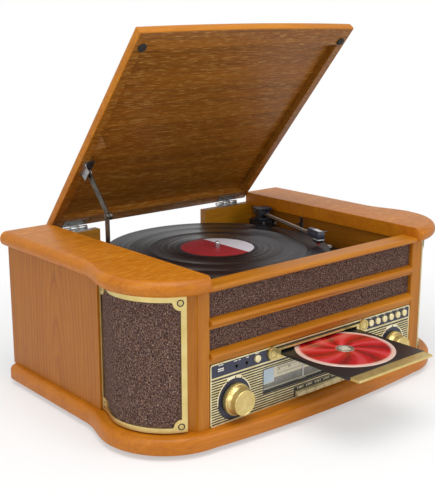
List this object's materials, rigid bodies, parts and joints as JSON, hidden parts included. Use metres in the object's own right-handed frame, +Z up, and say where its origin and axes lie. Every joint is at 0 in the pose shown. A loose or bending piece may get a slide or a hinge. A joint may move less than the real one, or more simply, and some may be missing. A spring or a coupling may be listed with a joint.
{
  "type": "stereo music centre",
  "caption": "Wooden music centre with a record deck under a stayed lifting lid, a sliding CD drawer, a radio dial with pointer, turning knobs, push buttons and curved corner speakers",
  "frame": {"origin": "On the floor under the middle of the whole piece as it stands with the lid open and the drawer out", "axes": "+Z is up from the feet, the control panel faces -Y, +X is to the right seen from the front"},
  "size_m": [0.525, 0.4645, 0.4739],
  "materials": {
    "wood": "oak veneer and solid edging, satin lacquer",
    "board": "raw fibreboard",
    "hardboard": "hardboard, painted black",
    "rubber": "matt rubber",
    "cloth": "woven speaker cloth on board",
    "gold_metal": "gold lacquer on pressed metal",
    "gold_plastic": "metallised plastic, champagne gold",
    "steel": "bright zinc plated",
    "socket_metal": "plated socket shells",
    "speaker": "paper cone, painted basket",
    "black_plastic": "black moulded plastic",
    "grey_plastic": "dark grey moulded plastic",
    "pale_plastic": "off-white moulded plastic",
    "clear_plastic": "clear acrylic window",
    "dial": "printed scale, display module at its left",
    "pointer": "white plastic needle",
    "disc": "printed disc with a silver hub",
    "grey_metal": "zinc plated sheet",
    "platter": "pressed metal",
    "vinyl": "pressed vinyl with a paper label",
    "brass": "turned",
    "arm_metal": "tube with a moulded grey head",
    "board_green": "glass fibre boards with their parts"
  },
  "bodies": {
    "cabinet": {"plinth": "wood", "feet": "rubber", "side_panels": "wood", "top_board_left": "wood", "top_board_right": "wood", "inner_walls": "wood", "rear_wall": "wood", "back_cover": "hardboard", "posts": "wood", "fascia_rails": "wood", "cloth_panels": "cloth", "grille_frames": "gold_metal", "fixing_screws": "steel", "speaker_baffles": "board", "speakers": "speaker", "control_panel": "black_plastic", "panel_trim": "gold_metal", "display_window": "clear_plastic", "dial_scale": "dial", "drawer_surround": "gold_plastic", "sockets": "socket_metal", "cd_mechanism": "grey_metal", "deck_plate": "black_plastic", "drive_motor": "steel", "drive_belt": "rubber", "tonearm_base": "black_plastic", "cabinet_hinge_leaves": "steel", "circuit_board": "board_green"},
    "lid": {"lid": "wood", "lid_bumpers": "rubber", "lid_hinge_leaves": "steel"},
    "stay_lower": {"stay_lower": "steel"},
    "stay_upper": {"stay_upper": "steel"},
    "platter": {"platter": "platter", "platter_mat": "rubber", "record": "vinyl"},
    "motor_pulley": {"motor_pulley": "brass"},
    "tonearm_yoke": {"tonearm_yoke": "grey_plastic"},
    "tonearm": {"tonearm": "arm_metal"},
    "cue_lever": {"cue_lever": "steel"},
    "speed_switch": {"speed_switch": "pale_plastic"},
    "tray": {"cd_tray": "black_plastic", "tray_bezel": "gold_plastic"},
    "disc": {"compact_disc": "disc"},
    "pointer": {"dial_pointer": "pointer"},
    "volume_knob": {"volume_knob": "gold_plastic"},
    "tuning_knob": {"tuning_knob": "gold_plastic"},
    "power_button": {"power_button": "gold_plastic"},
    "round_button_1": {"round_button_1": "gold_plastic"},
    "key_1": {"key_1": "gold_plastic"},
    "round_button_2": {"round_button_2": "gold_plastic"},
    "key_2": {"key_2": "gold_plastic"},
    "round_button_3": {"round_button_3": "gold_plastic"},
    "key_3": {"key_3": "gold_plastic"},
    "round_button_4": {"round_button_4": "gold_plastic"},
    "key_4": {"key_4": "gold_plastic"},
    "round_button_5": {"round_button_5": "gold_plastic"},
    "key_5": {"key_5": "gold_plastic"},
    "round_button_6": {"round_button_6": "gold_plastic"},
    "key_6": {"key_6": "gold_plastic"}
  },
  "joints": [
    {"name": "lid_hinge", "type": "hinge", "parent": "cabinet", "child": "lid", "pos_m": [0, 0.22125, 0.1928], "axis": [1, 0, 0], "range_deg": [0, 50.5]},
    {"name": "stay_foot_pivot", "type": "hinge", "parent": "cabinet", "child": "stay_lower", "pos_m": [-0.1652, 0.09675, 0.17], "axis": [1, 0, 0], "range_deg": [0, 82.5]},
    {"name": "stay_head_pivot", "type": "hinge", "parent": "lid", "child": "stay_upper", "pos_m": [-0.1633, 0.13918, 0.28261], "axis": [1, 0, 0], "range_deg": [-103, 0]},
    {"name": "platter_spin", "type": "hinge", "parent": "cabinet", "child": "platter", "pos_m": [0, 0.08125, 0.16], "axis": [0, 0, 1], "continuous": true},
    {"name": "pulley_spin", "type": "hinge", "parent": "cabinet", "child": "motor_pulley", "pos_m": [-0.05374, 0.13499, 0.158], "axis": [0, 0, 1], "continuous": true},
    {"name": "arm_swing", "type": "hinge", "parent": "cabinet", "child": "tonearm_yoke", "pos_m": [0.158, 0.16175, 0.17], "axis": [0, 0, 1], "range_deg": [-28.6, 18.4]},
    {"name": "arm_lift", "type": "hinge", "parent": "tonearm_yoke", "child": "tonearm", "pos_m": [0.158, 0.16175, 0.1835], "axis": [0.9568, -0.2907, 0], "range_deg": [-8, 0]},
    {"name": "cue_turn", "type": "hinge", "parent": "cabinet", "child": "cue_lever", "pos_m": [0.165, 0.15075, 0.164], "axis": [1, 0, 0], "range_deg": [-8, 30]},
    {"name": "speed_slide", "type": "slide", "parent": "cabinet", "child": "speed_switch", "axis": [0, 1, 0], "range_m": [0, 0.006]},
    {"name": "tray_slide", "type": "slide", "parent": "cabinet", "child": "tray", "axis": [0, 1, 0], "range_m": [0, 0.118]},
    {"name": "disc_spin", "type": "hinge", "parent": "tray", "child": "disc", "pos_m": [0, -0.15275, 0.0909], "axis": [0, 0, 1], "continuous": true},
    {"name": "volume_turn", "type": "hinge", "parent": "cabinet", "child": "volume_knob", "pos_m": [-0.1379, -0.11925, 0.0525], "axis": [0, 1, 0], "range_deg": [-150, 150]},
    {"name": "tuning_turn", "type": "hinge", "parent": "cabinet", "child": "tuning_knob", "pos_m": [0.1379, -0.11925, 0.0525], "axis": [0, 1, 0], "range_deg": [-163, 433]},
    {"name": "pointer_slide", "type": "slide", "parent": "cabinet", "child": "pointer", "axis": [1, 0, 0], "range_m": [-0.04, 0.106]},
    {"name": "power_press", "type": "slide", "parent": "cabinet", "child": "power_button", "axis": [0, 1, 0], "range_m": [0, 0.002], "stiffness_N_per_m": 300},
    {"name": "button_1_press", "type": "slide", "parent": "cabinet", "child": "round_button_1", "axis": [0, 1, 0], "range_m": [0, 0.002], "stiffness_N_per_m": 300},
    {"name": "button_2_press", "type": "slide", "parent": "cabinet", "child": "round_button_2", "axis": [0, 1, 0], "range_m": [0, 0.002], "stiffness_N_per_m": 300},
    {"name": "button_3_press", "type": "slide", "parent": "cabinet", "child": "round_button_3", "axis": [0, 1, 0], "range_m": [0, 0.002], "stiffness_N_per_m": 300},
    {"name": "button_4_press", "type": "slide", "parent": "cabinet", "child": "round_button_4", "axis": [0, 1, 0], "range_m": [0, 0.002], "stiffness_N_per_m": 300},
    {"name": "button_5_press", "type": "slide", "parent": "cabinet", "child": "round_button_5", "axis": [0, 1, 0], "range_m": [0, 0.002], "stiffness_N_per_m": 300},
    {"name": "button_6_press", "type": "slide", "parent": "cabinet", "child": "round_button_6", "axis": [0, 1, 0], "range_m": [0, 0.002], "stiffness_N_per_m": 300},
    {"name": "key_1_press", "type": "slide", "parent": "cabinet", "child": "key_1", "axis": [0, 1, 0], "range_m": [0, 0.0025], "stiffness_N_per_m": 300},
    {"name": "key_2_press", "type": "slide", "parent": "cabinet", "child": "key_2", "axis": [0, 1, 0], "range_m": [0, 0.0025], "stiffness_N_per_m": 300},
    {"name": "key_3_press", "type": "slide", "parent": "cabinet", "child": "key_3", "axis": [0, 1, 0], "range_m": [0, 0.0025], "stiffness_N_per_m": 300},
    {"name": "key_4_press", "type": "slide", "parent": "cabinet", "child": "key_4", "axis": [0, 1, 0], "range_m": [0, 0.0025], "stiffness_N_per_m": 300},
    {"name": "key_5_press", "type": "slide", "parent": "cabinet", "child": "key_5", "axis": [0, 1, 0], "range_m": [0, 0.0025], "stiffness_N_per_m": 300},
    {"name": "key_6_press", "type": "slide", "parent": "cabinet", "child": "key_6", "axis": [0, 1, 0], "range_m": [0, 0.0025], "stiffness_N_per_m": 300}
  ],
  "couplings": [
    {"joint": "stay_foot_pivot", "follows": "lid_hinge", "ratio": 1.63},
    {"joint": "stay_head_pivot", "follows": "lid_hinge", "ratio": -2.03},
    {"joint": "pulley_spin", "follows": "platter_spin", "ratio": 10.38},
    {"joint": "pointer_slide", "follows": "tuning_turn", "m_per_rad": 0.014}
  ]
}
